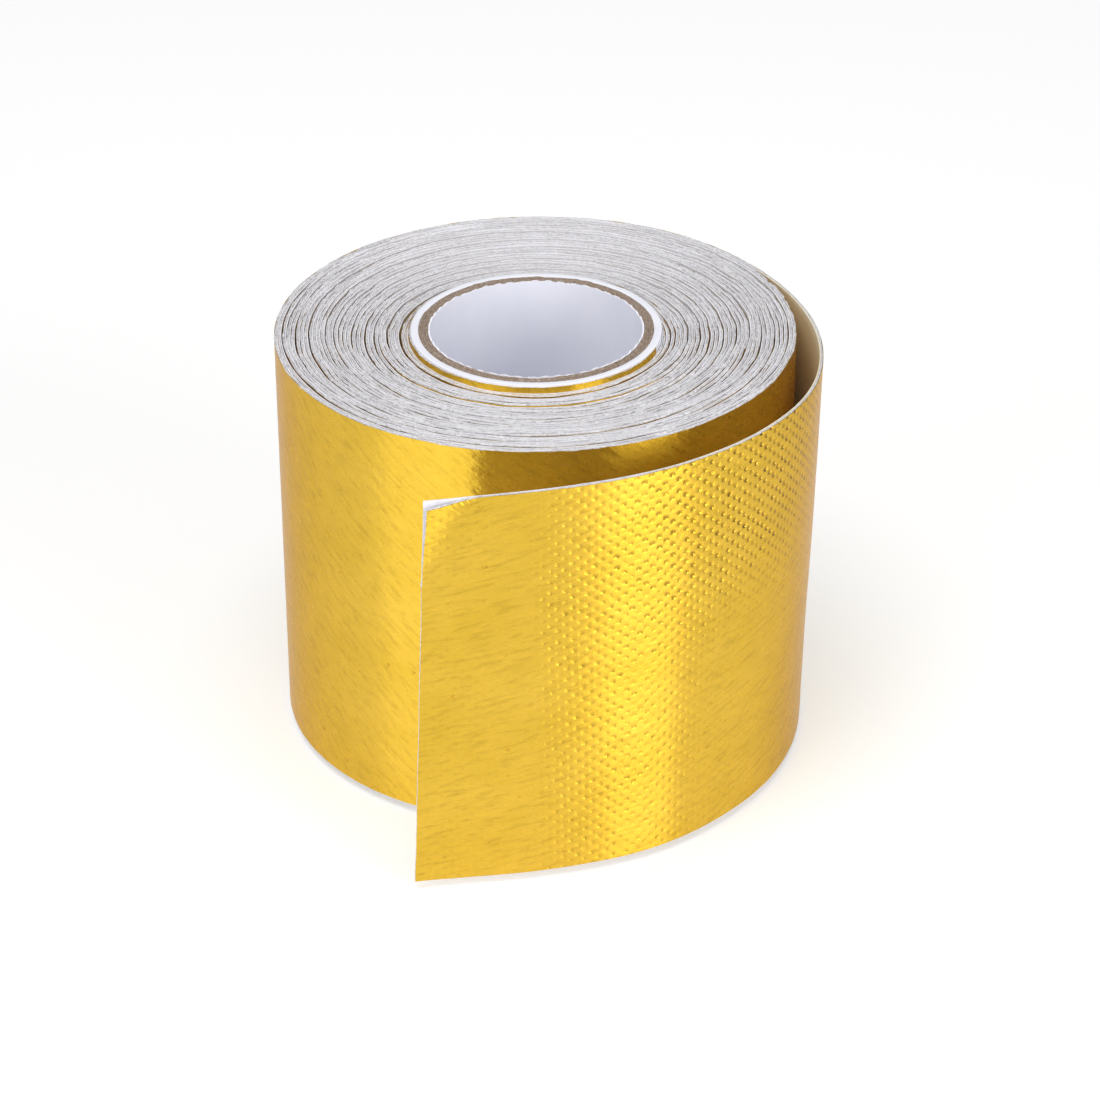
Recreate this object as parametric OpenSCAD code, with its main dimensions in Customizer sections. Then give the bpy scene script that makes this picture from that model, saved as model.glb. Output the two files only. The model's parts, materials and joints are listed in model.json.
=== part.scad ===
// Roll of metallised glass-cloth tape, standing on its end, with a loose outer end.
// Millimetres. +Z is the axis of the core, the origin is on that axis at the base plane.
// The strip is wound film side out and runs clockwise outwards when seen from above.

/* [Strip] */
// Width of the strip
tape_w = 50; // [20:1:100]
// Thickness of the metallised film on the outer side
film_t = 0.05; // [0.04:0.01:0.08]
// Thickness of the woven glass cloth
cloth_t = 0.20; // [0.15:0.01:0.22]
// Thickness of the release liner on the adhesive side
liner_t = 0.12; // [0.10:0.01:0.14]
// Thickness of each adhesive coat between two layers
coat_t = 0.03; // [0.03:0.005:0.035]

/* [Core] */
// Radius of the hole through the core
bore_r = 12.7; // [12:0.1:12.8]
// Length of the core
core_len = 51; // [50:0.5:54]
// Thickness of the white lining of the bore
lining_t = 0.2; // [0.1:0.05:0.3]
// Thickness of each of the three chipboard plies
ply_t = 0.4; // [0.3:0.05:0.4]
// Thickness of the white paper sleeve around the chipboard
sleeve_t = 0.9; // [0.5:0.1:0.9]

/* [Winding] */
// Radius of the outer face of the last half turn
roll_r = 31.3; // [31:0.1:34]
// Radial room that one turn takes
turn_pitch = 0.5; // [0.49:0.005:0.5]
// Number of half turns after the first, partial one: an odd number
half_turns = 63; // [51:2:63]
// Direction in which the free end leaves the roll, from +X
leave_angle = 42; // [0:1:90]
// Direction of the inner cut end of the strip, from +X
start_angle = -20; // [-60:1:20]
// How far the rim of the winding stands above its lowest turns
rim_rise = 1.0; // [0:0.1:1]
// How far the first turn stands above its neighbours
first_rise = 0.75; // [0:0.05:1]

/* [Free end] */
// Length of each of the eight hinged lengths of the free end, on its outer face
fold_len = 12.1; // [8:0.1:14]
// How far each length curls, in degrees, from the roll to the cut end
fold_bends = [16, 18, 20, 24, 18, 16, 9, 1];
// Slit at each fold line
fold_slit = 0.06; // [0.04:0.01:0.1]
// Length of liner that peels off the laminate at the cut end
tab_len = 8; // [4:0.5:10]
// How far the cut at the end is out of square: the upper edge is this much shorter
cut_slant = 2.1; // [0:0.1:3]
// Length of the lifted corner along the upper edge
corner_len = 5.6; // [3:0.1:6]
// Height of the lifted corner along the cut edge
corner_h = 13; // [6:0.5:16]
// How far the corner is lifted off the liner, in degrees
corner_lift = 22; // [0:1:45]

/* [Hidden] */

$fn = 180;
gold = [0.95, 0.78, 0.22];
glass_white = [0.84, 0.84, 0.80];
liner_white = [0.96, 0.96, 0.98];
chipboard = [0.55, 0.46, 0.38];
paper_white = [0.93, 0.93, 0.97];

// Each layer is a band measured inwards from the strip's outer face: [outer depth, inner depth].
film_band = [0, film_t];
cloth_band = [film_t + coat_t, film_t + coat_t + cloth_t];
liner_band = [cloth_band[1] + coat_t, cloth_band[1] + coat_t + liner_t];

// Core, from the bore outwards.
lining_r = bore_r + lining_t;
chipboard_r = lining_r + 3 * ply_t;
sleeve_r = chipboard_r + sleeve_t;

// Winding: semicircles about two centres a quarter pitch either side of the axis make a true spiral.
// Half turn 0 is the outermost and ends where the free end leaves. The outer turn is half turns 0 and 1.
centre_shift = turn_pitch / 4;
outer_turn_end = 1;
// Both ends of the winding are dished in even steps, each of them several half turns wide.
half_turns_per_step = 8;
dish_steps = 7;
// Share of the first turn's rise that is lost with each half turn outwards.
first_fade = 0.4;
function outer_r(half) = roll_r - half * turn_pitch / 2;
function rim_part(half) = rim_rise * max(0, 1 - floor(half / half_turns_per_step) / dish_steps);
function first_part(half) = first_rise * max(0, 1 - (half_turns - half) * first_fade);
function rise(half) = max(rim_part(half), first_part(half));
first_sweep = start_angle - leave_angle + 180;

// Free end: each length is an arc on the outer face, tangent to the one before.
folds = len(fold_bends);
function sum(list, n) = n <= 0 ? 0 : list[n - 1] + sum(list, n - 1);
function heading(i) = leave_angle - 90 - sum(fold_bends, i);
function fold_r(i) = fold_len / (fold_bends[i] * PI / 180);
function fold_centre(i) = fold_point(i) + fold_r(i) * direction(heading(i) - 90);
function direction(angle) = [cos(angle), sin(angle)];
function fold_point(i) = i == 0
    ? (roll_r + centre_shift) * direction(leave_angle)
    : fold_centre(i - 1) + fold_r(i - 1) * direction(heading(i) + 90);
last = folds - 1;
strip_end = fold_centre(last) + fold_r(last) * direction(heading(folds) + 90);
tail_top = rim_rise + tape_w;
// The two ends of the corner's fold line, [back from the strip's full length, down from its upper edge].
fold_top = [cut_slant + corner_len, 0];
fold_foot = [cut_slant * (1 - corner_h / tape_w), corner_h];
// How far each cutter stands past the strip.
cutter_reach = 3;

module tube(inner, outer, length) {
    rotate_extrude() translate([inner, 0]) square([outer - inner, length]);
}

module core_lining() {
    color(paper_white) tube(bore_r, lining_r, core_len);
}

module core_ply(index) {
    color(chipboard) tube(lining_r + index * ply_t, lining_r + (index + 1) * ply_t, core_len);
}

module core_sleeve() {
    color(paper_white) tube(chipboard_r, sleeve_r, core_len);
}

// A band of strip that curls clockwise about the Z axis: it ends at angle 0 and starts at sweep.
module curl(r, band, sweep) {
    rotate_extrude(angle = sweep) translate([r - band[1], 0]) square([band[1] - band[0], tape_w]);
}

module half_turn(half, band) {
    odd = half % 2 == 1;
    sweep = half == half_turns ? first_sweep : 180;
    rotate([0, 0, leave_angle])
        translate([odd ? -centre_shift : centre_shift, 0, rise(half)])
            rotate([0, 0, odd ? 180 : 0])
                curl(outer_r(half), band, sweep);
}

module winding(band) {
    for (half = [outer_turn_end + 1:half_turns]) half_turn(half, band);
}

module outer_turn(band) {
    for (half = [0:outer_turn_end]) half_turn(half, band);
}

// One hinged length of the free end, from one distance along it to another.
module fold(i, band, from, to) {
    r = fold_r(i);
    per_mm = fold_bends[i] / fold_len;
    centre = fold_centre(i);
    translate([centre[0], centre[1], rim_rise])
        rotate([0, 0, heading(i) + 90 - to * per_mm])
            curl(r, band, (to - from) * per_mm);
}

module full_fold(i, band) {
    fold(i, band, fold_slit / 2, i == last ? fold_len : fold_len - fold_slit / 2);
}

// Places its children at the free end's upper corner, on the outer face:
// X runs back along the strip, Y points in towards the roll and Z points down along the cut edge.
module at_corner() {
    translate([strip_end[0], strip_end[1], tail_top])
        rotate([0, 0, heading(folds) + 180])
            mirror([0, 0, 1]) children();
}

// Cuts an outline, given as [back, down] points from the free end's upper corner, through the strip.
module through_strip(outline) {
    at_corner()
        translate([0, cutter_reach, 0]) rotate([90, 0, 0])
            linear_extrude(2 * cutter_reach) polygon(outline);
}

// What the slanted cut takes off the square end.
module off_cut() {
    slope = cut_slant / tape_w;
    through_strip([
        [-cutter_reach, -cutter_reach],
        [cut_slant + slope * cutter_reach, -cutter_reach],
        [-slope * cutter_reach, tape_w + cutter_reach],
        [-cutter_reach, tape_w + cutter_reach],
    ]);
}

// The triangle of the lifted corner, with its fold line moved back by some distance.
module corner_prism(grow) {
    past = (fold_top - fold_foot) * cutter_reach / corner_h;
    back = [grow, 0];
    through_strip([
        [-cutter_reach, -cutter_reach], fold_top + past + back,
        fold_foot - past + back, [-cutter_reach, (fold_foot - past)[1]],
    ]);
}

module laminate_end(band) {
    difference() {
        full_fold(last, band);
        off_cut();
        corner_prism(fold_slit);
    }
}

// Turns its children outwards about the fold line of the corner, which lies on the outer face.
module lift_corner(angle) {
    back = direction(heading(folds) + 180);
    pivot = concat(strip_end + fold_top[0] * back, tail_top);
    axis = concat((fold_top - fold_foot)[0] * back, corner_h);
    translate(pivot) rotate(a = angle, v = axis) translate(-pivot) children();
}

module corner(band) {
    lift_corner(corner_lift) intersection() {
        difference() {
            full_fold(last, band);
            off_cut();
        }
        corner_prism(0);
    }
}

module wound_film() { color(gold) winding(film_band); }
module wound_cloth() { color(glass_white) winding(cloth_band); }
module wound_liner() { color(liner_white) winding(liner_band); }

module outer_turn_film() { color(gold) outer_turn(film_band); }
module outer_turn_cloth() { color(glass_white) outer_turn(cloth_band); }
module outer_turn_liner() { color(liner_white) outer_turn(liner_band); }

module tail_film(i) {
    color(gold) if (i == last) laminate_end(film_band); else full_fold(i, film_band);
}

module tail_cloth(i) {
    color(glass_white) if (i == last) laminate_end(cloth_band); else full_fold(i, cloth_band);
}

module tail_liner(i) {
    to = fold_len - (i == last ? tab_len : 0) - fold_slit / 2;
    color(liner_white) fold(i, liner_band, fold_slit / 2, to);
}

module liner_tab() {
    color(liner_white) difference() {
        fold(last, liner_band, fold_len - tab_len + fold_slit / 2, fold_len);
        off_cut();
    }
}

module corner_film() { color(gold) corner(film_band); }
module corner_cloth() { color(glass_white) corner(cloth_band); }

core_lining();
core_ply(0);  // core_inner_ply
core_ply(1);  // core_middle_ply
core_ply(2);  // core_outer_ply
core_sleeve();
wound_film();
wound_cloth();
wound_liner();
outer_turn_film();
outer_turn_cloth();
outer_turn_liner();
for (i = [0:last]) tail_film(i);
for (i = [0:last]) tail_cloth(i);
for (i = [0:last]) tail_liner(i);
liner_tab();
corner_film();
corner_cloth();
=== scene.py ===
import json
import math

import bpy
import numpy as np
from mathutils import Matrix, Vector


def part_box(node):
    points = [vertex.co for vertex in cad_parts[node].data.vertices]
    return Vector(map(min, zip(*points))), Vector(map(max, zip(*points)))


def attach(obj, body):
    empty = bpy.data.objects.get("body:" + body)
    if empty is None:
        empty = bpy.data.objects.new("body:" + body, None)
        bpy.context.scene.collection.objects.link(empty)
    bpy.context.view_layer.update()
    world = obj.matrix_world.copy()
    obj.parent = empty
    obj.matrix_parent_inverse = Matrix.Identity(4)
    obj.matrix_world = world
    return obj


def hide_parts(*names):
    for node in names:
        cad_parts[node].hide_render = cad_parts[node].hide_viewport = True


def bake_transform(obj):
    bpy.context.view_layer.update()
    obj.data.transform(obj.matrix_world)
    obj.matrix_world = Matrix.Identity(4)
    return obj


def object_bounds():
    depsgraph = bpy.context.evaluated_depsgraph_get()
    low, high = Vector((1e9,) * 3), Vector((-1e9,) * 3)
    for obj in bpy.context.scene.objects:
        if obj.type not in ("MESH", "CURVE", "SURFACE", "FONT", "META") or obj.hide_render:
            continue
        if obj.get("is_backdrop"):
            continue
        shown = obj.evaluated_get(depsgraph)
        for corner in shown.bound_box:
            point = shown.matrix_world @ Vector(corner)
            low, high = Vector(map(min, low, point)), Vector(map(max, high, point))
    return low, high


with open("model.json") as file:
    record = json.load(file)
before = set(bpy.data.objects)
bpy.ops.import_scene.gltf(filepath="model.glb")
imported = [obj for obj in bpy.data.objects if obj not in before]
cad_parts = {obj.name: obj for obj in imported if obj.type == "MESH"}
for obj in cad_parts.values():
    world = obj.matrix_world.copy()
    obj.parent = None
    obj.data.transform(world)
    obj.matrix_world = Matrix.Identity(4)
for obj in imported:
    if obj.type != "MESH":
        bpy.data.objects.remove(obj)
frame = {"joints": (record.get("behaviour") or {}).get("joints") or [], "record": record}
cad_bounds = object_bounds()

# A roll of gold metallised glass-cloth tape on a chipboard core, standing on its end.
# Lengths are in millimetres until make_mesh() writes metres. s runs along the strip: 0 is where the
# free end leaves the roll, positive towards the cut end, and negative back into the winding.
MM = 0.001
TAU = 2 * math.pi

# ---------------------------------------------------------------- what the frame says
JOINTS = {j["name"]: j for j in frame["joints"]}
BORE = next(m for m in frame["record"]["mounts"] if m["name"] == "core_bore")


def box_mm(node):
    """Lowest and highest corners of a CAD node, in millimetres."""
    low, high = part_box(node)
    return np.array(low) / MM, np.array(high) / MM


HINGE_NAMES = [name for name in JOINTS if name.startswith("free_end_")]
FOLDS = len(HINGE_NAMES)      # hinged lengths of the free end
FOLD_POINTS = np.array([JOINTS[name]["pos_m"][:2] for name in HINGE_NAMES]) / MM
RIM_BOTTOM, RIM_TOP = [corner[2] for corner in box_mm("outer_turn_film")]
TAPE_WIDTH = RIM_TOP - RIM_BOTTOM
LOWEST_TOP = box_mm("wound_cloth")[0][2] + TAPE_WIDTH
BORE_R = BORE["dims"]["r_mm"]
LINING_R = box_mm("core_lining")[1][0]
PLY_R = [box_mm(f"core_{ply}_ply")[1][0] for ply in ("inner", "middle", "outer")]
SLEEVE_R = box_mm("core_sleeve")[1][0]
CORE_TOP = box_mm("core_sleeve")[1][2]
LEAVE_ANGLE = math.atan2(FOLD_POINTS[0][1], FOLD_POINTS[0][0])
OUTER_R = math.hypot(*FOLD_POINTS[0])

# ---------------------------------------------------------------- the strip
# Layers as (outer depth, inner depth) from the strip's outer face.
FILM = (0.0, 0.05)
CLOTH = (0.08, 0.28)
LINER = (0.31, 0.43)
STRIP_T = LINER[1]
TURNS = 31.83                 # from the leaving point to the inner cut end
INNER_CLEARANCE = 0.06        # between the first turn's liner and the sleeve
LOWEST_EDGE = 0.03            # no edge of the winding is closer to the base plane
WOUND_UV_START = -10          # the winding's UVs stay below 0, where the materials look wound
FIRST_TURN_RISE = 0.75        # how far the first turn stands above its neighbours
LAST_BEND = math.radians(1)   # curl of the last hinged length, which has no hinge after it
LEAN_IN, LEAN_OUT = 1.75, 0.95        # lean of the free end's lower edge, at the side and in front
CUT_SLANT = 2.1               # the cut end is this far out of square at the top
NICK_HEIGHT = 41              # where the cut end is ragged
CORNER_LENGTH = 5.6           # lifted corner's length along the upper edge
CORNER_LIFT_SHARE = 0.42      # share of the corner's lift that its bend shows at rest
CORNER_BEND = (-1.0, 4.2)     # where the corner's bend starts and ends, across its fold line
CORNER_WORN = (0.60, 0.18)    # how far the corner of film and cloth is worn short, down and back
TAB_PIECE_START = 3.0         # the liner's last piece starts this far past the last fold line
GOLD_SHORT = 0.04             # film and cloth stop this far below the liner's upper edge
WARP_PITCH, WEFT_PITCH = 0.86, 0.72   # spacing of the cloth's yarns along and across the strip
WEAVE_SWAY = 0.25             # how far the yarns wander, as a share of their spacing
WEAVE_HEIGHT = 0.040          # depth of the dimples that the yarns press into the film


# ---------------------------------------------------------------- repeatable noise
def smooth(x, low=0.0, high=1.0):
    """Smooth step from 0 at low to 1 at high."""
    t = np.clip((np.asarray(x, float) - low) / (high - low), 0, 1)
    return t * t * (3 - 2 * t)


def rise_and_fall(x, start, full, fade, end):
    """0 up to start, 1 from full to fade, and 0 again from end."""
    return smooth(x, start, full) * (1 - smooth(x, fade, end))


def scatter(i, seed):
    """A repeatable random number in -1..1 for each number."""
    return np.modf(np.sin(i * 12.9898 + seed * 78.233) * 43758.5453)[0]


def noise(x, seed):
    """Smooth noise in -1..1 along a line."""
    x = np.asarray(x, float)
    i = np.floor(x)
    t = smooth(x - i)
    return scatter(i, seed) * (1 - t) + scatter(i + 1, seed) * t


def noise2(x, y, seed):
    """Smooth noise in -1..1 over a plane."""
    x, y = np.asarray(x, float), np.asarray(y, float)
    i, j = np.floor(x), np.floor(y)
    tx, ty = smooth(x - i), smooth(y - j)
    corner = lambda a, b: scatter((i + a) * 1.37 + (j + b) * 57.31, seed)
    low = corner(0, 0) * (1 - tx) + corner(1, 0) * tx
    high = corner(0, 1) * (1 - tx) + corner(1, 1) * tx
    return low * (1 - ty) + high * ty


# ---------------------------------------------------------------- where the strip runs
def turned(angle):
    """Unit vectors at these angles."""
    return np.stack([np.cos(angle), np.sin(angle)], axis=-1)


def fold_arcs():
    """Heading at each fold line, curl of each length and length of one fold, from the hinges."""
    headings, bends = [LEAVE_ANGLE - math.pi / 2], []
    for here, there in zip(FOLD_POINTS[:-1], FOLD_POINTS[1:]):
        chord = math.atan2(*(there - here)[::-1])
        bend = 2 * ((headings[-1] - chord + math.pi) % TAU - math.pi)
        bends.append(bend)
        headings.append(headings[-1] - bend)
    bends.append(LAST_BEND)
    half = bends[0] / 2
    length = np.linalg.norm(FOLD_POINTS[1] - FOLD_POINTS[0]) * half / math.sin(half)
    return np.array(headings), np.array(bends), length


HEADINGS, BENDS, FOLD = fold_arcs()
STRIP_END = FOLDS * FOLD


def gap_steps():
    """Where the winding is loose: (turn, extra gap, share of a turn over which it opens)."""
    rng = np.random.default_rng(11)
    wide, narrow = (0.10, 0.17), (0.02, 0.06)
    loose = [(t + rng.uniform(-0.6, 0.6), rng.uniform(*wide), rng.uniform(0.2, 0.7))
             for t in np.arange(2.4, 30.5, 2.9)]
    slack = [(t + rng.uniform(-0.5, 0.5), rng.uniform(*narrow), rng.uniform(0.2, 0.8))
             for t in np.arange(1.5, 31.0, 1.1)]
    return loose + slack


GAPS = gap_steps()
ALL_GAPS = OUTER_R - STRIP_T * (TURNS + 1) - SLEEVE_R - INNER_CLEARANCE
EVEN_GAP = (ALL_GAPS + STRIP_T - sum(g[1] for g in GAPS)) / TURNS


def noise_around(turn, cells, drift, seed):
    """Smooth noise around the roll that changes slowly from each turn to the next."""
    angle = LEAVE_ANGLE + TAU * np.asarray(turn, float)
    return noise2(cells * np.cos(angle) + 31, cells * np.sin(angle) + turn * drift + 47, seed)


def winding_r(turn):
    """Radius of the strip's outer face after so many turns inwards."""
    r = OUTER_R - (STRIP_T + EVEN_GAP) * turn
    for at, gap, spread in GAPS:
        r = r - gap * smooth(turn, at, at + spread)
    inside = rise_and_fall(turn, 1.2, 4, 27, 31)
    wobble = 0.12 * noise_around(turn, 2.4, 1 / 7, 5) + 0.07 * noise_around(turn, 9.0, 1 / 6, 6)
    return r + inside * wobble


def winding_top(turn):
    """Height of the strip's upper edge: dished towards the core, with a proud first turn."""
    dish = (RIM_TOP - LOWEST_TOP) * smooth(turn, 1.0, 30)
    first = FIRST_TURN_RISE * smooth(turn, TURNS - 0.62, TURNS - 0.46)
    # Neighbouring turns slip together, in groups that step up by degrees and drop back at once.
    slipped = 0.14 * noise_around(turn, 1.8, 0.27, 21) + 0.05 * noise_around(turn, 6.0, 0.45, 22)
    group = (turn / 3.7 + 0.25 * noise(turn / 3, 23)) % 1
    stepped = 0.13 * (smooth(group, 0, 0.75) - smooth(group, 0.82, 1)) - 0.05
    # Two groups near the core stand proud at the front.
    front = 0.5 - 0.5 * np.sin(LEAVE_ANGLE + TAU * turn)
    proud = 0.24 * rise_and_fall(turn, 23.9, 24.3, 26.5, 29)
    proud = proud + 0.18 * rise_and_fall(turn, 29.2, 29.5, 30.2, 30.9)
    shown = smooth(turn, 0.2, 1.6) * (1 - 0.7 * smooth(turn, 30.6, 31.2))
    return RIM_TOP - dish + shown * (slipped + stepped + proud * front) + first


def turn_of(s):
    """Turns inwards for a negative s, near the outside of the roll."""
    return -np.asarray(s, float) / (TAU * OUTER_R)


def strip_path(s):
    """Points on the strip's outer face, and the outward directions there."""
    s = np.asarray(s, float)
    k = np.clip((s / FOLD).astype(int), 0, FOLDS - 1)
    along = s - k * FOLD
    heading = HEADINGS[k] - BENDS[k] * along / FOLD
    radius = (FOLD / BENDS[k])[..., None]
    tail = FOLD_POINTS[k] + radius * (turned(HEADINGS[k] - math.pi / 2) + turned(heading + math.pi / 2))
    angle = LEAVE_ANGLE + TAU * turn_of(s)
    wound = winding_r(turn_of(s))[..., None] * turned(angle)
    on_roll = (s < 0)[..., None]
    point = np.where(on_roll, wound, tail)
    outward = np.where(on_roll, turned(angle), turned(heading + math.pi / 2))
    return point, outward


def lean(s, z):
    """How far the free end leans: its lower edge is nearer the roll at the side, and further in front."""
    folds = np.asarray(s, float) / FOLD
    inward = LEAN_IN * rise_and_fall(folds, 0.6, 3.0, 3.1, 5.5)
    outward = LEAN_OUT * smooth(folds, 4.6, 6.2) * (1 - 0.6 * smooth(folds, 6.8, 8.0))
    low = smooth((RIM_TOP - z) / TAPE_WIDTH, -0.1, 1.1)
    return (outward - inward) * low


def slack_wave(s, z):
    """Broad shallow waves of the free end."""
    broad, small = noise2(s / 14, z / 22, 31), noise2(s / 6, z / 9, 32)
    return smooth(s, 0, 2 * FOLD) * (0.07 * broad + 0.03 * small)


def place(s, z, depth):
    """Points at some depth inside the strip, at a height z."""
    point, outward = strip_path(s)
    out = lean(s, z) + slack_wave(s, z) - depth
    flat = point + outward * out[..., None]
    return np.concatenate([flat, np.broadcast_to(z, s.shape)[..., None]], axis=-1)


# ---------------------------------------------------------------- film surface
def weave(s, z):
    """Dimples that the cloth's yarns press into the film, in -1..1."""
    a = s / WARP_PITCH + WEAVE_SWAY * np.sin(s / 6 + z / 9)
    b = z / WEFT_PITCH + WEAVE_SWAY * np.sin(s / 8 - z / 6)
    uneven = 0.68 + 0.62 * scatter(np.floor(a) * 3.1 + np.floor(b) * 17.7, 43)
    cell = np.sin(math.pi * a) * np.sin(math.pi * b)
    return np.where(cell < 0, -np.abs(cell) ** 1.6, 0.5 * cell) * uneven


def streaks(s, z, tilt, length, width, seed):
    """Long narrow wrinkles. tilt is their slope as seen from outside, rising to the right."""
    right = -s
    along = right * math.cos(tilt) + z * math.sin(tilt)
    across = -right * math.sin(tilt) + z * math.cos(tilt)
    return noise2(along / length, across / width, seed)


def pressed(s, z):
    """Where the weave shows most: in a patch high on the free end's right, and in an upright band."""
    free = 0.35 + 0.65 * smooth(s, -6, 6)
    patch = np.exp(-(((s - 4.5 * FOLD) / 15) ** 2 + ((z - 41) / 13) ** 2))
    band = np.exp(-(((s - 6.15 * FOLD) / 4.5) ** 2))
    mottled = 0.5 + 0.5 * noise2(s / 9, z / 12, 44)
    return 0.95 * patch + free * (0.10 + 0.24 * band + 0.14 * mottled)


def relief(s, z):
    """Height of the film's surface above its plain face."""
    on_roll = 1 - smooth(s, -14, -4)
    creased = 0.5 + 0.5 * noise2(s / 17, z / 21, 45)
    fine = streaks(s, z, math.radians(13), 4.0, 0.8, 46) * (0.008 + 0.010 * creased)
    slanting = streaks(s, z, math.radians(-38), 3.6, 0.9, 47) * (0.010 + 0.012 * creased)
    dimples = WEAVE_HEIGHT * pressed(s, z) * weave(s, z)
    return dimples + fine * (1 - 0.6 * on_roll) + slanting * on_roll


# ---------------------------------------------------------------- meshes
def make_mesh(name, points, faces, uv, material, sharp=35):
    """A mesh object from points in millimetres, faces as arrays of indices, and a UV for each point.
    Edges that turn more than sharp degrees are shaded as sharp ones."""
    mesh = bpy.data.meshes.new(name)
    loops = np.concatenate([f.ravel() for f in faces]).astype(np.int32)
    sizes = np.concatenate([np.full(len(f), f.shape[1]) for f in faces]).astype(np.int32)
    starts = np.concatenate([[0], np.cumsum(sizes)[:-1]]).astype(np.int32)
    mesh.vertices.add(len(points))
    mesh.vertices.foreach_set("co", (np.asarray(points) * MM).astype(np.float32).ravel())
    mesh.loops.add(len(loops))
    mesh.loops.foreach_set("vertex_index", loops)
    mesh.polygons.add(len(sizes))
    mesh.polygons.foreach_set("loop_start", starts)
    layer = mesh.uv_layers.new(name="strip")
    layer.data.foreach_set("uv", np.asarray(uv)[loops].astype(np.float32).ravel())
    mesh.polygons.foreach_set("use_smooth", np.ones(len(sizes), bool))
    mesh.update(calc_edges=True)
    mesh.validate()
    mesh.set_sharp_from_angle(angle=math.radians(sharp))
    mesh.materials.append(material)
    piece = bpy.data.objects.new(name, mesh)
    bpy.context.scene.collection.objects.link(piece)
    return piece


def grid_quads(first, columns, rows, flip):
    """Quads of a grid of points stored column by column."""
    i, j = np.meshgrid(np.arange(columns - 1), np.arange(rows - 1), indexing="ij")
    a = (first + i * rows + j).ravel()
    quads = np.stack([a, a + 1, a + rows + 1, a + rows], axis=1)
    return quads[:, ::-1] if flip else quads


def zip_sides(fine, coarse, flip):
    """Triangles between two edges with the same ends, one with more points than the other."""
    step, triangles = (len(fine) - 1) // (len(coarse) - 1), []
    for j in range(len(coarse) - 1):
        row = fine[j * step:(j + 1) * step + 1]
        middle = step // 2
        triangles += [(coarse[j], row[i], row[i + 1]) for i in range(middle)]
        triangles.append((coarse[j], row[middle], coarse[j + 1]))
        triangles += [(coarse[j + 1], row[i], row[i + 1]) for i in range(middle, step)]
    triangles = np.array(triangles)
    return triangles[:, ::-1] if flip else triangles


def strip_sheet(name, s_from, s_to, band, material, step, bottom, top,
                end=None, surface=None, after=None, coarser=10):
    """One layer of the strip as a closed sheet. bottom and top give its edges at each s, end its cut
    edge as a distance to take off at each height, and surface the relief of its outer face. after
    moves the finished points, and the inner face has one row for each so many (coarser) outside."""
    columns = int(round((s_to - s_from) / step)) + 1
    rows = int(round(TAPE_WIDTH / step / coarser)) * coarser + 1
    u, v = np.linspace(0, 1, columns)[:, None], np.linspace(0, 1, rows)[None, :]

    def side(share_of_rows, depth, raised):
        z_flat = RIM_BOTTOM + TAPE_WIDTH * share_of_rows
        s = s_from + (s_to - s_from - (end(z_flat) if end else 0)) * u + 0 * share_of_rows
        z = bottom(s) + (top(s) - bottom(s)) * share_of_rows
        out = surface(s, z) if raised and surface else 0 * s
        return place(s, z, depth - out), np.stack([s, z - depth], axis=-1)

    outer, outer_uv = side(v, band[0], True)
    inner, inner_uv = side(v[:, ::coarser], band[1], False)
    few = inner.shape[1]
    second = columns * rows
    points = np.concatenate([outer.reshape(-1, 3), inner.reshape(-1, 3)])
    uv = np.concatenate([outer_uv.reshape(-1, 2), inner_uv.reshape(-1, 2)])
    across = np.arange(columns)
    outer_low, inner_low = across * rows, second + across * few
    outer_high, inner_high = outer_low + rows - 1, inner_low + few - 1

    def rim(one, other):
        return np.stack([one[:-1], one[1:], other[1:], other[:-1]], axis=1)

    first_fine, first_coarse = np.arange(rows), second + np.arange(few)
    last_fine, last_coarse = first_fine + (columns - 1) * rows, first_coarse + (columns - 1) * few
    faces = [
        grid_quads(0, columns, rows, False), grid_quads(second, columns, few, True),
        rim(outer_low, inner_low), rim(inner_high, outer_high),
        zip_sides(first_fine, first_coarse, True), zip_sides(last_fine, last_coarse, False),
    ]
    if after:
        points = after(points)
    return make_mesh(name, points, faces, uv, material)


def plain_section(band):
    """Corners of a layer's section, as (depth, 1 at the upper edge or 0 at the lower, drop below it)."""
    return [(band[0], 0, 0), (band[0], 1, 0), (band[1], 1, 0), (band[1], 0, 0)]


def frayed_section(band):
    """The section of a layer whose fibres spread over the film's edge."""
    out, inside = band[0] - 0.07, band[1] + 0.02
    tips = [(out + (inside - out) * t, 1, 0.02 if t in (0, 1) else 0) for t in (0, 0.35, 0.65, 1)]
    return [(band[0], 0, 0), (band[0], 1, 0.2)] + tips + [(band[1], 1, 0.2), (band[1], 0, 0)]


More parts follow.
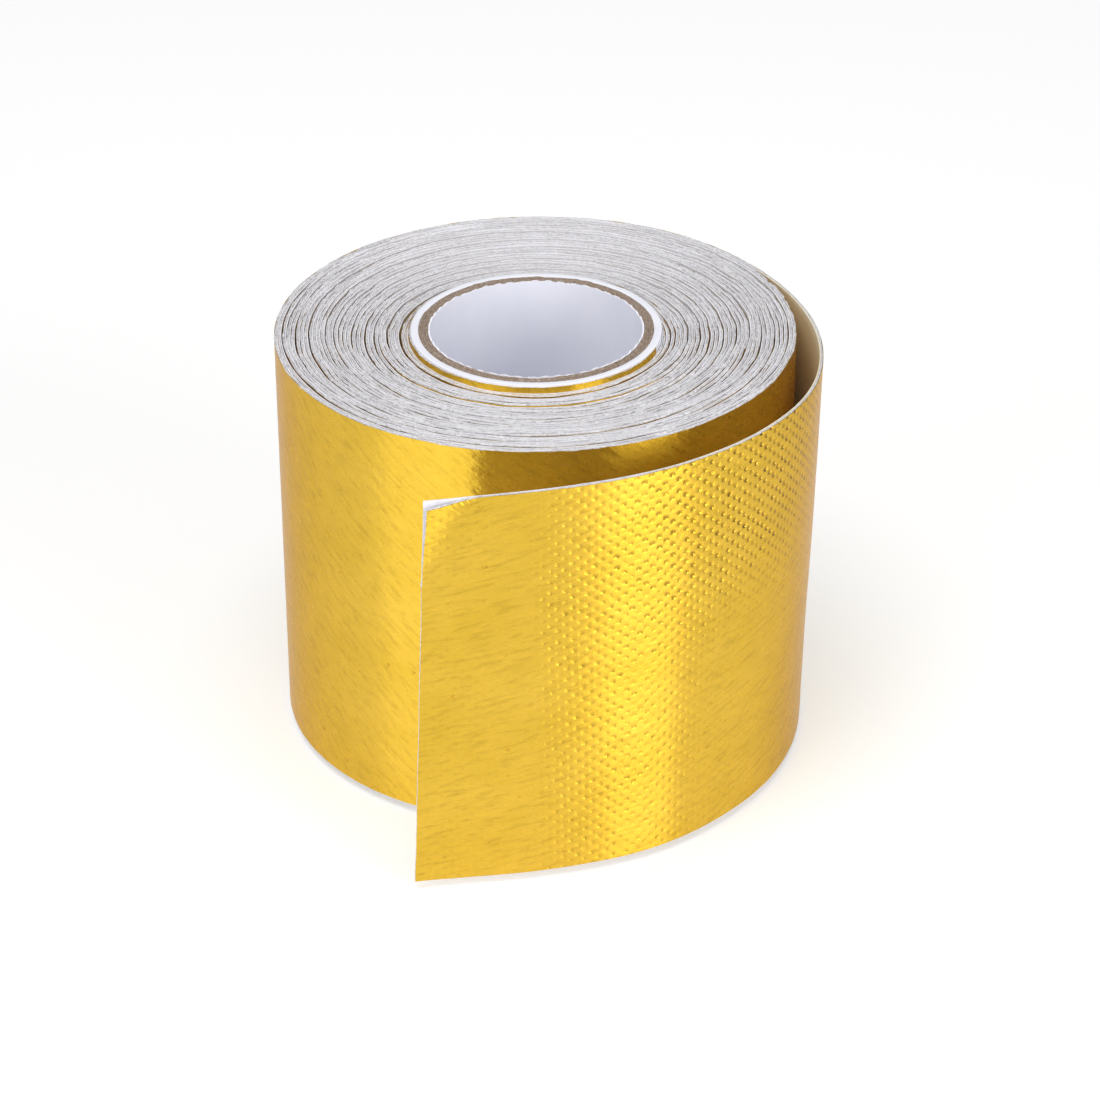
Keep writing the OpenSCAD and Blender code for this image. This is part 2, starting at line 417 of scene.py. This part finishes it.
def wound_layer(name, turn_from, turn_to, ring, material, step, rough, flare=0.0, sharp=35, recess=0.0):
    """One layer of the winding between two turn counts, as a closed ribbon on edge.
    rough gives the height of its cut edges' roughness for each distance and place across, and
    recess is how far its upper edge is below the others, except in the last turns by the core."""
    mean_r = winding_r(np.array([(turn_from + turn_to) / 2]))[0]
    count = int((turn_to - turn_from) * TAU * mean_r / step) + 1
    turn = np.linspace(turn_from, turn_to, count)
    angle = LEAVE_ANGLE + TAU * turn
    outward = turned(angle)
    r, top = winding_r(turn), winding_top(turn)
    length = np.concatenate([[0], np.cumsum(np.diff(turn) * TAU * (r[1:] + r[:-1]) / 2)])
    side = np.abs(np.cos(angle))
    points, uv = [], []
    for k, (depth, at_top, drop) in enumerate(ring):
        height = (top if at_top else top - TAPE_WIDTH) + rough(length, k, at_top) * (0.3 + 0.7 * side ** 2)
        height = height - drop - at_top * recess * (1 - smooth(turn, 28.4, 29.2))
        height = np.maximum(height, LOWEST_EDGE)
        sway = flare * noise(length / 0.9, 60 + k)
        flat = outward * (r - depth + sway)[:, None]
        points.append(np.concatenate([flat, height[:, None]], axis=1))
        uv.append(np.stack([WOUND_UV_START - length, height - depth], axis=1))
    points, uv = np.stack(points, axis=1), np.stack(uv, axis=1)
    n, k = len(turn), len(ring)
    i, j = np.meshgrid(np.arange(n - 1), np.arange(k), indexing="ij")
    i, j = i.ravel(), j.ravel()
    after = (j + 1) % k
    walls = np.stack([i * k + j, (i + 1) * k + j, (i + 1) * k + after, i * k + after], axis=1)
    caps = np.array([np.arange(k), ((n - 1) * k + np.arange(k))[::-1]])
    return make_mesh(name, points.reshape(-1, 3), [walls, caps], uv.reshape(-1, 2), material, sharp)


FAR_END_SHIFT = 2.1           # the lower end of a tube is torn differently from the upper one


def ring_tube(name, r_in, r_out, bottom, top, material, spacing, across, rough, wall_rows=1):
    """A tube with rough cut ends. rough gives the height for an angle and a radius."""
    count = int(TAU * r_out / spacing)
    angle = np.linspace(0, TAU, count, endpoint=False)
    radii = np.linspace(r_in, r_out, across + 1)
    profile = [(r, top, 1) for r in radii]
    profile += [(r_out, bottom + (top - bottom) * (1 - t), 0) for t in np.arange(1, wall_rows) / wall_rows]
    profile += [(r, bottom, -1) for r in radii[::-1]]
    profile += [(r_in, bottom + (top - bottom) * t, 0) for t in np.arange(1, wall_rows) / wall_rows]
    points, uv = [], []
    for r, z, end in profile:
        height = np.maximum(z + end * rough(angle + (end < 0) * FAR_END_SHIFT, r), 0)
        points.append(np.stack([r * np.cos(angle), r * np.sin(angle), height], axis=1))
        uv.append(np.stack([angle * r_out, height + r], axis=1))
    points, uv = np.stack(points, axis=1), np.stack(uv, axis=1)
    k = len(profile)
    i, j = np.meshgrid(np.arange(count), np.arange(k), indexing="ij")
    i, j = i.ravel(), j.ravel()
    ahead, after = (i + 1) % count, (j + 1) % k
    walls = np.stack([i * k + j, i * k + after, ahead * k + after, ahead * k + j], axis=1)
    return make_mesh(name, points.reshape(-1, 3), [walls], uv.reshape(-1, 2), material)


# ---------------------------------------------------------------- materials
class Finish:
    """A small helper for building one procedural material."""

    def __init__(self, name):
        self.material = bpy.data.materials.new(name)
        self.material.use_nodes = True
        self.nodes, self.links = self.material.node_tree.nodes, self.material.node_tree.links
        self.shader = self.nodes["Principled BSDF"]
        self.uv = self.node("ShaderNodeUVMap")
        self.uv.uv_map = "strip"

    def node(self, kind, **settings):
        made = self.nodes.new(kind)
        for key, value in settings.items():
            if hasattr(made, key):
                setattr(made, key, value)
            else:
                made.inputs[key.replace("_", " ")].default_value = value
        return made

    def set(self, **values):
        for key, value in values.items():
            self.shader.inputs[key.replace("_", " ")].default_value = value

    def noise(self, per_mm, detail=3.0, roughness=0.55, tilt=0.0):
        """Noise with so many features per millimetre along and across the strip."""
        place_it = self.node("ShaderNodeMapping")
        place_it.inputs["Rotation"].default_value = (0, 0, tilt)
        scale_it = self.node("ShaderNodeVectorMath", operation="MULTIPLY")
        scale_it.inputs[1].default_value = (per_mm[0], per_mm[1], 1)
        texture = self.node("ShaderNodeTexNoise", Scale=1.0, Detail=detail, Roughness=roughness)
        self.links.new(self.uv.outputs[0], place_it.inputs["Vector"])
        self.links.new(place_it.outputs[0], scale_it.inputs[0])
        self.links.new(scale_it.outputs[0], texture.inputs["Vector"])
        return texture.outputs["Fac"]

    def ramp(self, factor, *stops):
        """Colours by place along a factor: (place, colour)."""
        made = self.node("ShaderNodeValToRGB")
        elements = made.color_ramp.elements
        while len(elements) < len(stops):
            elements.new(0.5)
        for element, (at, colour) in zip(elements, stops):
            element.position = at
            element.color = (*colour, 1)
        self.links.new(factor, made.inputs["Fac"])
        return made.outputs["Color"]

    def mix(self, factor, one, other, blend="MIX"):
        made = self.node("ShaderNodeMix", data_type="RGBA", blend_type=blend)
        for socket, value in ((made.inputs[0], factor), (made.inputs[6], one), (made.inputs[7], other)):
            if isinstance(value, (int, float)):
                socket.default_value = value
            elif isinstance(value, tuple):
                socket.default_value = (*value, 1)
            else:
                self.links.new(value, socket)
        return made.outputs[2]

    def span(self, factor, low, high):
        """A factor of 0..1 as a value from low to high."""
        made = self.node("ShaderNodeMapRange")
        made.inputs["To Min"].default_value, made.inputs["To Max"].default_value = low, high
        self.links.new(factor, made.inputs["Value"])
        return made.outputs[0]

    def bump(self, height, distance_mm, strength=1.0, below=None):
        made = self.node("ShaderNodeBump", Strength=strength, Distance=distance_mm * MM)
        self.links.new(height, made.inputs["Height"])
        if below is not None:
            self.links.new(below, made.inputs["Normal"])
        return made.outputs[0]

    def math(self, operation, *values):
        made = self.node("ShaderNodeMath", operation=operation)
        for socket, value in zip(made.inputs, values):
            if isinstance(value, (int, float)):
                socket.default_value = value
            else:
                self.links.new(value, socket)
        return made.outputs[0]

    def grey(self, factor):
        made = self.node("ShaderNodeCombineColor")
        for socket in made.inputs:
            self.links.new(factor, socket)
        return made.outputs[0]

    def shown(self, start, end, axis="X"):
        """0 before one distance along the strip (X) or up it (Y), and 1 after another."""
        split = self.node("ShaderNodeSeparateXYZ")
        self.links.new(self.uv.outputs[0], split.inputs[0])
        made = self.node("ShaderNodeMapRange", interpolation_type="SMOOTHSTEP")
        made.inputs["From Min"].default_value, made.inputs["From Max"].default_value = start, end
        self.links.new(split.outputs[axis], made.inputs["Value"])
        return made.outputs[0]

    def between(self, start, full, fade, end):
        """The same as rise_and_fall(), for the distance along the strip."""
        gone = self.shown(fade, end)
        return self.math("MULTIPLY", self.shown(start, full), self.math("SUBTRACT", 1.0, gone))

    def weave(self):
        """The same pits as weave(), as a value in -1..1, with the pits above 0."""
        split = self.node("ShaderNodeSeparateXYZ")
        self.links.new(self.uv.outputs[0], split.inputs[0])
        s, z = split.outputs[0], split.outputs[1]

        def wave(over_s, over_z):
            phase = self.math("MULTIPLY_ADD", z, 1 / over_z, self.math("DIVIDE", s, over_s))
            return self.math("SINE", phase)

        def yarns(along, pitch, sway):
            place_in = self.math("MULTIPLY_ADD", sway, WEAVE_SWAY, self.math("DIVIDE", along, pitch))
            return self.math("SINE", self.math("MULTIPLY", place_in, math.pi))

        both = self.math("MULTIPLY", yarns(s, WARP_PITCH, wave(6, 9)), yarns(z, WEFT_PITCH, wave(8, -6)))
        return self.math("MULTIPLY", both, -1.0)

    def wire(self, socket, value):
        self.links.new(value, self.shader.inputs[socket])


def gold_film():
    """Gold metallised film: drawn out sideways by the fine wrinkles that run along the strip."""
    f = Finish("gold_film")
    # Colour: two tones of gold, with a few brown specks.
    tone = f.noise((0.10, 0.13), 4)
    base = f.ramp(tone, (0.30, (0.78, 0.497, 0.032)), (0.70, (0.85, 0.545, 0.048)))
    grime = f.noise((0.55, 0.8), 5, 0.65)
    clean = (1, 1, 1)
    worn = f.ramp(grime, (0.0, (0.55, 0.33, 0.05)), (0.30, (0.62, 0.40, 0.06)), (0.36, clean), (1.0, clean))
    toned = f.mix(0.5, base, worn, "MULTIPLY")
    # Reflection: sharp along the strip and blurred up and down it.
    f.set(Metallic=1.0, Anisotropic=1.0, Anisotropic_Rotation=0.25)
    f.set(Coat_Weight=0.42, Coat_Roughness=0.25, Coat_IOR=1.5)
    f.set(Specular_Tint=(0.76, 0.54, 0.30, 1))
    f.wire("Roughness", f.span(f.noise((0.3, 0.5), 3), 0.24, 0.31))
    tangent = f.node("ShaderNodeTangent", direction_type="UV_MAP", uv_map="strip")
    f.wire("Tangent", tangent.outputs[0])
    # Creases: nearly level on the free end, and slanting on the roll.
    rising = f.noise((0.30, 1.7), 3, 0.6, math.radians(10))
    falling = f.noise((0.38, 1.5), 3, 0.6, math.radians(-36))
    free = f.shown(-8, 8)
    creases = f.mix(free, f.grey(falling), f.grey(rising))
    # Painted shade: the ramp darkens the film's colour in the low parts of the creases.
    shade = f.ramp(creases, (0.33, (0.84, 0.83, 0.75)), (0.48, (0.98, 0.98, 0.97)), (0.62, clean))
    # Pits of the weave: deep in the patch and the band of pressed(), and patchy elsewhere. Their colour gets
    # painted shade.
    patchy = f.math("MAXIMUM", f.span(f.noise((0.09, 0.07), 2), -0.9, 1.7), 0.05)
    high = f.math("MULTIPLY", f.between(28, 40, 58, 74), f.shown(24, 42, "Y"))
    column = f.between(54, 72, 79, 84)
    marked = f.math("MULTIPLY_ADD", column, 0.5, f.math("MULTIPLY", high, 1.7))
    depth = f.math("ADD", marked, f.math("MULTIPLY", patchy, f.span(free, 0.12, 0.4)))
    uneven = f.span(f.noise((0.75, 0.95), 3, 0.6), -1.5, 3.6)
    depth = f.math("MULTIPLY", depth, f.math("MAXIMUM", uneven, 0.1))
    pits = f.math("MULTIPLY", f.math("POWER", f.math("MAXIMUM", f.weave(), 0.0), 1.5), depth)
    # Painted shade: the pits' colour is darkened towards olive brown.
    dark = f.mix(f.math("MINIMUM", f.math("MULTIPLY", pits, 0.31), 1.0), clean, (0.42, 0.33, 0.12))
    f.wire("Base Color", f.mix(1.0, f.mix(1.0, toned, shade, "MULTIPLY"), dark, "MULTIPLY"))
    wrinkled = f.bump(creases, 0.045)
    dimpled = f.bump(f.math("SUBTRACT", 1.0, pits), 0.055, 1.0, wrinkled)
    rough = f.math("MULTIPLY", f.noise((1.8, 1.8), 3, 0.6), f.math("MULTIPLY_ADD", high, 2.2, 1.0))
    f.wire("Normal", f.bump(rough, 0.014, 1.0, dimpled))
    return f.material


def glass_cloth():
    """White glass yarns, seen mostly on the cut edges, with painted shade in the gaps between them and painted
    lit and shaded tones on the yarns.
    """
    f = Finish("glass_cloth")
    yarn = f.noise((1.9, 4.5), 5, 0.75)
    # Painted shade and light: gap is near-black shade between the yarns, and shaded and lit are the same white
    # yarn in painted shade and light.
    gap, shaded, lit = (0.08, 0.075, 0.07), (0.50, 0.49, 0.49), (0.80, 0.79, 0.81)
    base = f.ramp(yarn, (0.27, gap), (0.38, shaded), (0.55, lit))
    patch = f.ramp(f.noise((0.12, 0.4), 3), (0.35, (0.86, 0.855, 0.86)), (0.65, (1, 1, 1)))
    f.wire("Base Color", f.mix(1.0, base, patch, "MULTIPLY"))
    f.set(Roughness=0.62, Sheen_Weight=0.12, Sheen_Roughness=0.5)
    f.wire("Normal", f.bump(f.noise((3.0, 6.0), 4, 0.7), 0.05))
    return f.material


def release_liner():
    """Smooth white release paper, faintly mottled, with a painted warm cream reflection on the back of the free
    end, where the gold film lights it.
    """
    f = Finish("release_liner")
    white = f.ramp(f.noise((0.25, 0.6), 4), (0.3, (0.84, 0.83, 0.88)), (0.7, (0.90, 0.89, 0.94)))
    # Painted reflection: the cream tint on the back of the free end stands in for light that the gold film
    # reflects onto the liner.
    base = f.mix(f.between(2, 12, 60, 75), white, (0.95, 0.86, 0.66))
    fibres = f.ramp(f.noise((2.0, 4.0), 4, 0.7), (0.30, (0.72, 0.71, 0.70)), (0.48, (1, 1, 1)))
    f.wire("Base Color", f.mix(0.6, base, fibres, "MULTIPLY"))
    f.wire("Roughness", f.span(f.noise((0.5, 0.9), 3), 0.42, 0.6))
    f.wire("Normal", f.bump(f.noise((1.6, 2.4), 4), 0.012))
    return f.material


def chipboard():
    """Raw grey-brown chipboard, fibrous at its cut ends."""
    f = Finish("chipboard")
    fibre = f.noise((2.2, 5.5), 6, 0.85)
    dark, middle, pale = (0.085, 0.055, 0.036), (0.26, 0.185, 0.135), (0.50, 0.42, 0.35)
    f.wire("Base Color", f.ramp(fibre, (0.30, dark), (0.47, middle), (0.62, pale)))
    f.set(Roughness=0.88)
    f.wire("Normal", f.bump(f.noise((2.4, 6.0), 5, 0.7), 0.09))
    return f.material


def white_paper():
    """Smooth white paper around and inside the core, with a faint fibre."""
    f = Finish("white_paper")
    tone = f.noise((0.2, 0.12), 4)
    f.wire("Base Color", f.ramp(tone, (0.3, (0.875, 0.88, 0.97)), (0.7, (0.92, 0.925, 0.99))))
    f.wire("Roughness", f.span(f.noise((0.9, 0.9), 4), 0.45, 0.62))
    f.wire("Normal", f.bump(f.noise((1.8, 1.8), 5, 0.65), 0.014))
    return f.material


GOLD, GLASS, PAPER = gold_film(), glass_cloth(), release_liner()
BOARD, WHITE = chipboard(), white_paper()


def finish(piece, slot, *nodes):
    """Hides the CAD nodes that the piece stands for and returns the piece; slot is not used."""
    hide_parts(*nodes)
    return piece


# ---------------------------------------------------------------- core
PLY_SPACE = 0.008             # between neighbouring plies


def build_core():
    """The five tubes of the core, with cut ends that are torn, fibrous or even."""
    def torn(angle, r):
        return 0.06 * noise(angle * 31, 71) + 0.10 * noise(angle * 120, 72) - 0.05

    def fibrous(angle, r):
        along, shift = angle * r, r * 9.7
        return 0.07 * noise(along * 1.1 + shift, 73) + 0.06 * noise(along * 2.4 + shift, 74) - 0.08

    def even(angle, r):
        edge = 0.05 * (smooth(r, SLEEVE_R - 0.25, SLEEVE_R) + 1 - smooth(r, PLY_R[2], PLY_R[2] + 0.2))
        return 0.015 * noise(angle * 20, 75) - edge

    lining = ring_tube("core_bore_lining", BORE_R, LINING_R, 0, CORE_TOP, WHITE, 0.14, 2, torn, 12)
    finish(lining, "white_paper", "core_lining")
    made = [lining]
    for ply, inner, outer in zip(("inner", "middle", "outer"), [LINING_R] + PLY_R, PLY_R):
        piece = ring_tube(f"core_board_{ply}", inner + PLY_SPACE / 2, outer - PLY_SPACE / 2, 0, CORE_TOP,
                          BOARD, 0.2, 3, fibrous)
        made.append(finish(piece, "chipboard", f"core_{ply}_ply"))
    sleeve = ring_tube("core_paper_sleeve", PLY_R[2], SLEEVE_R, 0, CORE_TOP, WHITE, 0.3, 6, even)
    made.append(finish(sleeve, "white_paper", "core_sleeve"))
    for piece in made:
        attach(piece, "roll")


# ---------------------------------------------------------------- winding
def cut_roughness(amount, wavelength, seed):
    """The roughness of a layer's cut edges, for each distance and corner k of its section."""
    def rough(length, k, at_top):
        own, waves = seed + k * 7 + at_top * 3, length / wavelength
        return amount * (0.65 * noise(waves, own) + 0.35 * noise(waves * 2.7, own + 1))
    return rough


def build_winding():
    """The turns below the outer one, in groups, and the cloth and liner of the outer turn."""
    start = -BORDERS[0] / (TAU * OUTER_R)
    groups = (
        ("turn", start, 1.0, "outer_turn"),
        ("outer", 1.0, 14.0, "wound"),
        ("inner", 14.0, TURNS, "wound"),
    )
    pieces = {}
    for group, turn_from, turn_to, nodes in groups:
        film = None
        if nodes == "wound":
            film = wound_layer(f"film_{group}", turn_from, turn_to, plain_section(FILM), GOLD, 0.5,
                               cut_roughness(0.03, 1.7, 80), recess=0.15)
            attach(finish(film, "gold_film", "wound_film"), "roll")
        cloth = wound_layer(f"cloth_{group}", turn_from, turn_to, frayed_section(CLOTH), GLASS, 0.26,
                            cut_roughness(0.19, 0.5, 90), flare=0.05, sharp=20)
        liner = wound_layer(f"liner_{group}", turn_from, turn_to, plain_section(LINER), PAPER, 0.5,
                            cut_roughness(0.035, 2.3, 100))
        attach(finish(cloth, "glass_cloth", f"{nodes}_cloth"), "roll")
        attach(finish(liner, "release_liner", f"{nodes}_liner"), "roll")
        mean_r = winding_r(np.linspace(turn_from, turn_to, 400)).mean()
        pieces[group] = (film, cloth, liner, (turn_to - turn_from) * TAU * mean_r * MM)
    return pieces


def build_outer_film():
    """The film of the outer turn, in four lengths, with the cloth's weave pressed into it."""
    ends = np.linspace(-TAU * OUTER_R, BORDERS[0], 5)
    made = []
    for k, (s_from, s_to) in enumerate(zip(ends[:-1], ends[1:])):
        piece = strip_sheet(f"film_turn_{4 - k}", s_from, s_to, FILM, GOLD, 0.22, lower_edge, film_edge,
                            surface=relief, coarser=12)
        made.append(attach(finish(piece, "gold_film", "outer_turn_film"), "roll"))
    return made


# ---------------------------------------------------------------- free end
# Ends of the pieces of the free end, nearly all in the middle of a hinged length, so that they meet there.
BORDERS = np.array([-0.4, 0.5, 1.5, 2.5, 3.5, 4.5, 5.45, 6.3, 7.15, 8.0]) * FOLD
PIECES = len(BORDERS) - 1


def lower_edge(s):
    """Height of every layer's lower edge."""
    return RIM_BOTTOM + 0.02 * noise(s / 2.1, 51)


def liner_edge(s):
    """Height of the liner's upper edge."""
    return RIM_TOP + 0.02 * noise(s / 3.3, 52)


def corner_short(s):
    """How far the worn corner of the film and cloth falls short of the liner's upper edge."""
    return CORNER_WORN[0] * smooth(s, STRIP_END - CUT_SLANT - 8, STRIP_END - CUT_SLANT) ** 1.5


def film_edge(s):
    """The film's upper edge, a little short of the liner's on the free end."""
    short = GOLD_SHORT * smooth(s, 0, FOLD) + corner_short(s)
    return RIM_TOP - 0.03 - short + 0.035 * noise(s / 1.3, 53) + 0.02 * noise(s / 0.5, 54)


def cloth_edge(s):
    """Height of the cloth's frayed upper edge, halfway between the film's and the liner's."""
    short = 0.5 * GOLD_SHORT * smooth(s, 0, FOLD) + corner_short(s)
    return RIM_TOP - short + 0.04 * noise(s / 0.7, 55) + 0.03 * noise(s / 0.3, 56)


def cut_end(z):
    """How much the slanted, slightly ragged cut takes off the strip at a height."""
    high = (z - RIM_BOTTOM) / TAPE_WIDTH
    nick = 0.10 * np.exp(-((z - NICK_HEIGHT) / 1.2) ** 2) * noise(z / 0.35, 58)
    return CUT_SLANT * high + 0.03 * noise(z / 0.9, 57) + nick


def worn_end(z):
    """The cut end of the film and cloth, worn short at its upper corner."""
    return cut_end(z) + CORNER_WORN[1] * smooth(z, RIM_TOP - 9, RIM_TOP) ** 1.5


def corner_fold():
    """The corner's fold line as a point and a direction, and the direction across it to the tip."""
    joint = JOINTS["corner_lift"]
    origin, axis = np.array(joint["pos_m"]) / MM, np.array(joint["axis"])
    outward = strip_path(np.array([STRIP_END - 1]))[1][0]
    across = np.cross(axis, [*outward, 0])
    across /= np.linalg.norm(across)
    tip = strip_path(np.array([STRIP_END]))[0][0]
    if np.dot(np.array([*tip, RIM_TOP]) - origin, across) < 0:
        across = -across
    return origin, axis, across


def lift_corner(points):
    """Bends the upper corner outwards about its fold line."""
    origin, axis, across = corner_fold()
    lift = -math.radians(JOINTS["corner_lift"]["range_deg"][0])
    rel = points - origin
    angle = CORNER_LIFT_SHARE * lift * smooth(rel @ across, *CORNER_BEND)
    cos, sin = np.cos(angle)[:, None], np.sin(angle)[:, None]
    along = (rel @ axis)[:, None] * axis
    return origin + rel * cos + np.cross(axis, rel) * sin + along * (1 - cos)


def corner_wrinkles(s, z):
    """Short creases that fan out below the top of the corner's fold line."""
    from_fold, down = s - (STRIP_END - CUT_SLANT - CORNER_LENGTH), RIM_TOP - z
    fan = np.exp(-((from_fold - 1) / 1.7) ** 2 - (down / 1.5) ** 2)
    slanted = from_fold + 0.75 * down + 0.4 * noise(down / 0.8, 33)
    return 0.045 * fan * np.sin(TAU * slanted / 0.8)


def end_relief(s, z):
    """The film's relief on the last piece of the free end."""
    return relief(s, z) + corner_wrinkles(s, z)


def bend_over(piece):
    """Bakes the piece's transform into its mesh; it does not bend the piece."""
    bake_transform(piece)


def bend_corner(piece):
    """Bakes the last piece's transform into its mesh; it does not bend the piece."""
    origin, _, across = corner_fold()
    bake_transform(piece)


def bend_tab(piece):
    """Bakes the liner's last piece's transform into its mesh; it does not bend the piece."""
    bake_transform(piece)


def build_free_end():
    """The three layers of the free end, each in nine pieces, each running across one fold line."""
    layers = (
        ("film", FILM, GOLD, 0.2, film_edge, relief, 10, "gold_film"),
        ("cloth", CLOTH, GLASS, 0.4, cloth_edge, None, 5, "glass_cloth"),
        ("liner", LINER, PAPER, 0.4, liner_edge, None, 5, "release_liner"),
    )
    made = {}
    for layer, band, material, step, top, surface, coarser, slot in layers:
        borders = BORDERS.copy()
        if layer == "liner":
            borders[-2] = (FOLDS - 1) * FOLD + TAB_PIECE_START
        for k in range(1, PIECES):
            piece = strip_sheet(f"{layer}_free_{k}", borders[k - 1], borders[k], band, material, step,
                                lower_edge, top, surface=surface, coarser=coarser)
            finish(piece, slot, f"tail_{layer}_{k}")
            bend_over(piece)
            made[layer, k] = piece
        on_laminate = layer != "liner"
        piece = strip_sheet(f"{layer}_free_{PIECES}", borders[-2], borders[-1], band, material, step,
                            lower_edge, top, end=worn_end if on_laminate else cut_end,
                            surface=end_relief if surface else None,
                            after=lift_corner if on_laminate else None, coarser=coarser)
        finish(piece, slot, f"corner_{layer}" if on_laminate else "liner_tab")
        (bend_corner if on_laminate else bend_tab)(piece)
        made[layer, PIECES] = piece
    return made


# ---------------------------------------------------------------- stage
FLOOR_HALF = 3.0              # metres
FLOOR_DROP = 0.00005          # metres below the base plane, so that the two faces don't fight
CAMERA_AT = (0.00150, -0.41595, 0.25927)
CAMERA_DOWN = math.radians(29.87)
CAMERA_ROLL = -0.0058
CAMERA_LENS = 127.3


def soft_light(name, azimuth, elevation, distance, width, height, power):
    """A softbox that faces the object from a direction in degrees."""
    data = bpy.data.lights.new(name, "AREA")
    data.shape, data.size, data.size_y, data.energy = "RECTANGLE", width, height, power
    lamp = bpy.data.objects.new(name, data)
    a, e = math.radians(azimuth), math.radians(elevation)
    towards = Vector((math.cos(a) * math.cos(e), math.sin(a) * math.cos(e), math.sin(e)))
    lamp.location = Vector((0, 0, 0.025)) + towards * distance
    lamp.rotation_euler = towards.to_track_quat("Z", "Y").to_euler()
    bpy.context.scene.collection.objects.link(lamp)


def staged_plane(name, corners, grey, roughness=0.5):
    """A plane of the stage, from its four corners in metres."""
    mesh = bpy.data.meshes.new(name)
    mesh.from_pydata(corners, [], [(0, 1, 2, 3)])
    plane = bpy.data.objects.new(name, mesh)
    bpy.context.scene.collection.objects.link(plane)
    paint = bpy.data.materials.new(name)
    paint.use_nodes = True
    shader = paint.node_tree.nodes["Principled BSDF"]
    shader.inputs["Base Color"].default_value = (grey, grey, grey, 1)
    shader.inputs["Roughness"].default_value = roughness
    mesh.materials.append(paint)
    plane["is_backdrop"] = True
    return plane, shader


def grey_card(name, azimuth, distance, width, height):
    """A dark card on the floor, facing the object. Only its reflection and its shade are seen."""
    half = width / 2
    corners = [(-half, 0, 0), (half, 0, 0), (half, 0, height), (-half, 0, height)]
    card, _ = staged_plane(name, corners, 0.03)
    a = math.radians(azimuth)
    card.location = (distance * math.cos(a), distance * math.sin(a), 0)
    card.rotation_euler = (0, 0, a + math.pi / 2)
    card.visible_camera = False


def build_stage():
    """A pale floor that glows a little, as a lit sweep does, three softboxes and two dark cards."""
    signs = [(-1, -1), (1, -1), (1, 1), (-1, 1)]
    corners = [(x * FLOOR_HALF, y * FLOOR_HALF, -FLOOR_DROP) for x, y in signs]
    _, shader = staged_plane("floor", corners, grey=0.74, roughness=0.8)
    shader.inputs["Emission Color"].default_value = (1, 1, 1, 1)
    shader.inputs["Emission Strength"].default_value = 0.36

    world = bpy.data.worlds.new("studio")
    bpy.context.scene.world = world
    world.use_nodes = True
    background = world.node_tree.nodes["Background"]
    background.inputs["Color"].default_value = (1, 1, 1, 1)
    background.inputs["Strength"].default_value = 0.29
    soft_light("softbox_right", azimuth=-43, elevation=17, distance=0.9, width=0.42, height=0.52, power=3.7)
    soft_light("softbox_left", azimuth=-136, elevation=17, distance=0.9, width=0.66, height=0.52, power=2.5)
    soft_light("softbox_top", azimuth=-118, elevation=76, distance=1.2, width=0.9, height=0.9, power=9.4)
    grey_card("card_left", azimuth=152, distance=0.72, width=1.20, height=0.86)
    grey_card("card_right", azimuth=32, distance=0.72, width=0.58, height=0.86)

    view = bpy.context.scene.view_settings
    view.view_transform = "Standard"
    view.look = "None"


def build_camera():
    """The photograph's viewpoint: in front, looking down by about 30 degrees through a long lens."""
    data = bpy.data.cameras.new("camera")
    data.sensor_width = 36
    data.lens = CAMERA_LENS
    data.clip_end = 20
    camera = bpy.data.objects.new("camera", data)
    camera.matrix_world = (
        Matrix.Translation(CAMERA_AT)
        @ Matrix.Rotation(math.pi / 2 - CAMERA_DOWN, 4, "X")
        @ Matrix.Rotation(CAMERA_ROLL, 4, "Z")
    )
    bpy.context.scene.collection.objects.link(camera)
    bpy.context.scene.camera = camera


build_core()
WOUND = build_winding()
OUTER_FILM = build_outer_film()
FREE = build_free_end()
build_stage()
build_camera()

sizes = {"cad": [list(corner) for corner in cad_bounds], "visual": [list(corner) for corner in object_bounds()]}
